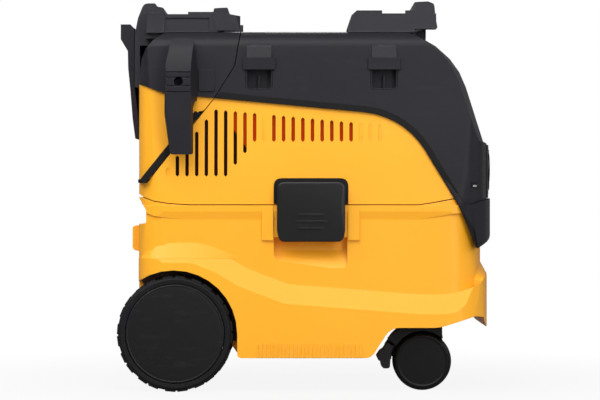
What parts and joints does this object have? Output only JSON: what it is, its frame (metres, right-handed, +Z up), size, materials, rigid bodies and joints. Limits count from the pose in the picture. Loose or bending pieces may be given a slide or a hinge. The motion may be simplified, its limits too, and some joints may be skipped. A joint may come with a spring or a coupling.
{
  "type": "shop vacuum",
  "caption": "Wheeled shop vacuum with a lift-off motor head held by side latches, a hinged filter cover, swivelling front casters, cord hooks and docks on top for a tool case.",
  "frame": {"origin": "on the floor, under the middle of the machine's bounding box", "axes": "+X towards the front of the machine where the hose goes in, +Y to its left, +Z up"},
  "size_m": [0.5055, 0.408, 0.519],
  "materials": {
    "yellow_plastic": "satin",
    "black_plastic": "satin",
    "dark_plastic": "satin",
    "tyre_rubber": "matte",
    "steel": "brushed",
    "filter_paper": "matte",
    "circuit_board": "gloss"
  },
  "bodies": {
    "tank": {"tank_shell": "yellow_plastic", "chin_cover": "black_plastic", "inlet_socket": "dark_plastic", "rear_axle": "steel", "axle_clip_right": "steel", "axle_clip_left": "steel"},
    "wheel_right": {"tyre_right": "tyre_rubber", "rim_right": "black_plastic", "wheel_cap_right": "black_plastic"},
    "wheel_left": {"tyre_left": "tyre_rubber", "rim_left": "black_plastic", "wheel_cap_left": "black_plastic"},
    "caster_right": {"caster_body_right": "dark_plastic", "caster_stem_right": "steel", "caster_axle_right": "steel"},
    "caster_left": {"caster_body_left": "dark_plastic", "caster_stem_left": "steel", "caster_axle_left": "steel"},
    "caster_right_wheel_a": {"caster_wheel_a_right": "black_plastic"},
    "caster_right_wheel_b": {"caster_wheel_b_right": "black_plastic"},
    "caster_left_wheel_a": {"caster_wheel_a_left": "black_plastic"},
    "caster_left_wheel_b": {"caster_wheel_b_left": "black_plastic"},
    "pedal_right": {"brake_pedal_right": "dark_plastic"},
    "pedal_left": {"brake_pedal_left": "dark_plastic"},
    "head": {"tank_seal": "tyre_rubber", "base_plate": "dark_plastic", "head_shell": "yellow_plastic", "hood": "black_plastic", "control_panel": "dark_plastic", "tool_socket": "dark_plastic", "control_board": "circuit_board", "level_probe": "steel", "fan_housing": "dark_plastic", "motor": "steel", "motor_yoke": "dark_plastic", "cord_gland": "dark_plastic", "latch_pin_right": "steel", "latch_pin_left": "steel", "strap_loop_rear_right": "black_plastic", "strap_loop_front_right": "black_plastic", "strap_loop_rear_left": "black_plastic", "strap_loop_front_left": "black_plastic", "filter_right": "filter_paper", "filter_left": "filter_paper", "cover_hinge_pin": "steel", "front_dock": "black_plastic"},
    "latch_right": {"latch_right": "dark_plastic"},
    "latch_left": {"latch_left": "dark_plastic"},
    "filter_cover": {"rear_cover": "yellow_plastic", "rear_hood": "black_plastic", "rear_hook": "black_plastic", "rear_dock": "black_plastic", "side_hook_right": "black_plastic", "side_hook_left": "black_plastic", "hook_screw_right": "steel", "hook_screw_left": "steel"},
    "cover_lock": {"cover_lock": "black_plastic"},
    "mode_knob": {"mode_knob": "black_plastic"},
    "suction_knob": {"suction_knob": "black_plastic"},
    "socket_flap": {"socket_flap": "dark_plastic"}
  },
  "joints": [
    {"name": "head_lift", "type": "slide", "parent": "tank", "child": "head", "axis": [0, 0, 1], "range_m": [0, 0.09]},
    {"name": "wheel_right_turn", "type": "hinge", "parent": "tank", "child": "wheel_right", "pos_m": [-0.176, -0.167, 0.077], "axis": [0, 1, 0], "continuous": true},
    {"name": "wheel_left_turn", "type": "hinge", "parent": "tank", "child": "wheel_left", "pos_m": [-0.176, 0.167, 0.077], "axis": [0, 1, 0], "continuous": true},
    {"name": "caster_right_swivel", "type": "hinge", "parent": "tank", "child": "caster_right", "pos_m": [0.168, -0.136, 0.08], "axis": [0, 0, 1], "continuous": true},
    {"name": "caster_left_swivel", "type": "hinge", "parent": "tank", "child": "caster_left", "pos_m": [0.168, 0.136, 0.08], "axis": [0, 0, 1], "continuous": true},
    {"name": "caster_right_wheel_a_turn", "type": "hinge", "parent": "caster_right", "child": "caster_right_wheel_a", "pos_m": [0.1525, -0.136, 0.039], "axis": [0, 1, 0], "continuous": true},
    {"name": "caster_right_wheel_b_turn", "type": "hinge", "parent": "caster_right", "child": "caster_right_wheel_b", "pos_m": [0.1525, -0.136, 0.039], "axis": [0, 1, 0], "continuous": true},
    {"name": "caster_left_wheel_a_turn", "type": "hinge", "parent": "caster_left", "child": "caster_left_wheel_a", "pos_m": [0.168, 0.1205, 0.039], "axis": [-1, 0, 0], "continuous": true},
    {"name": "caster_left_wheel_b_turn", "type": "hinge", "parent": "caster_left", "child": "caster_left_wheel_b", "pos_m": [0.168, 0.1205, 0.039], "axis": [-1, 0, 0], "continuous": true},
    {"name": "pedal_right_tilt", "type": "hinge", "parent": "caster_right", "child": "pedal_right", "pos_m": [0.108, -0.136, 0.053], "axis": [0, -1, 0], "range_deg": [0, 8]},
    {"name": "pedal_left_tilt", "type": "hinge", "parent": "caster_left", "child": "pedal_left", "pos_m": [0.168, 0.076, 0.053], "axis": [1, 0, 0], "range_deg": [0, 8]},
    {"name": "latch_right_swing", "type": "hinge", "parent": "head", "child": "latch_right", "pos_m": [0.004, -0.1889, 0.2687], "axis": [-1, 0, 0], "range_deg": [0, 60]},
    {"name": "latch_left_swing", "type": "hinge", "parent": "head", "child": "latch_left", "pos_m": [0.004, 0.1889, 0.2687], "axis": [1, 0, 0], "range_deg": [0, 60]},
    {"name": "filter_cover_swing", "type": "hinge", "parent": "head", "child": "filter_cover", "pos_m": [-0.2215, 0, 0.283], "axis": [0, -1, 0], "range_deg": [0, 70]},
    {"name": "cover_lock_turn", "type": "hinge", "parent": "head", "child": "cover_lock", "pos_m": [-0.0634, 0, 0.482], "axis": [0, 0, 1], "range_deg": [0, 90]},
    {"name": "mode_knob_turn", "type": "hinge", "parent": "head", "child": "mode_knob", "pos_m": [0.239, -0.062, 0.297], "axis": [1, 0, 0], "range_deg": [0, 180]},
    {"name": "suction_knob_turn", "type": "hinge", "parent": "head", "child": "suction_knob", "pos_m": [0.239, 0.062, 0.297], "axis": [1, 0, 0], "range_deg": [-135, 135]},
    {"name": "socket_flap_lift", "type": "hinge", "parent": "head", "child": "socket_flap", "pos_m": [0.2505, 0, 0.321], "axis": [0, -1, 0], "range_deg": [0, 80], "stiffness_Nm_per_rad": 0.01}
  ]
}
